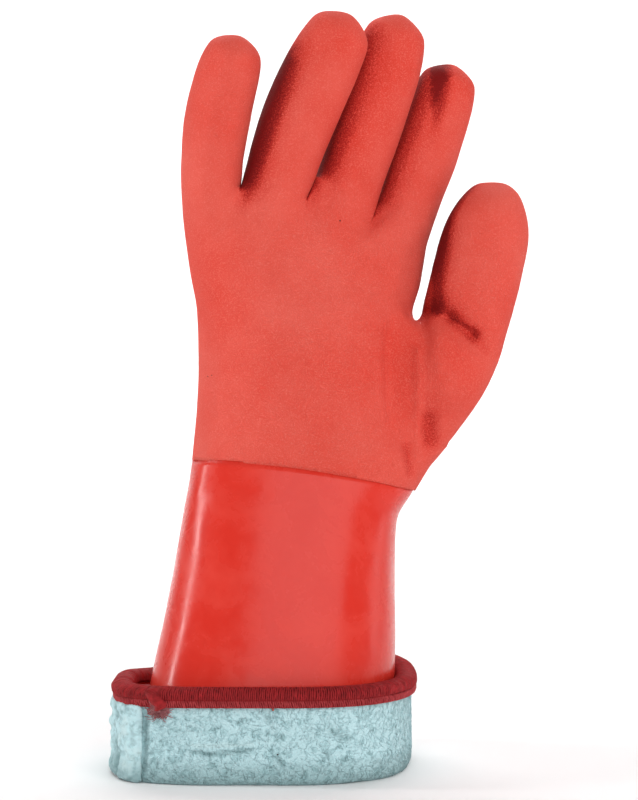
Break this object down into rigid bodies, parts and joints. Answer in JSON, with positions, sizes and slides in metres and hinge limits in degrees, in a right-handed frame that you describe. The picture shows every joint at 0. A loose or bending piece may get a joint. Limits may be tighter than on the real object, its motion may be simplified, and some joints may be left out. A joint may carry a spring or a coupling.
{
  "type": "work glove",
  "caption": "PVC coated work glove with a rough orange red hand, a smooth gauntlet and a turned-back cuff that shows its pale lining.",
  "frame": {"origin": "middle of the glove's box on the ground, under its turned-back cuff", "axes": "+Z from the cuff to the fingertips, -Y out of the palm, +X towards the thumb"},
  "size_m": [0.1676, 0.1136, 0.3047],
  "materials": {
    "rough_pvc": "sandy matt",
    "smooth_pvc": "semi gloss",
    "lining": "brushed pile",
    "thread": "overlocked thread"
  },
  "bodies": {
    "root": {"hand_coat": "rough_pvc", "gauntlet_coat": "smooth_pvc", "liner": "lining", "rim_binding": "thread", "seam_flap": "lining", "binding_tail": "thread"}
  },
  "joints": []
}
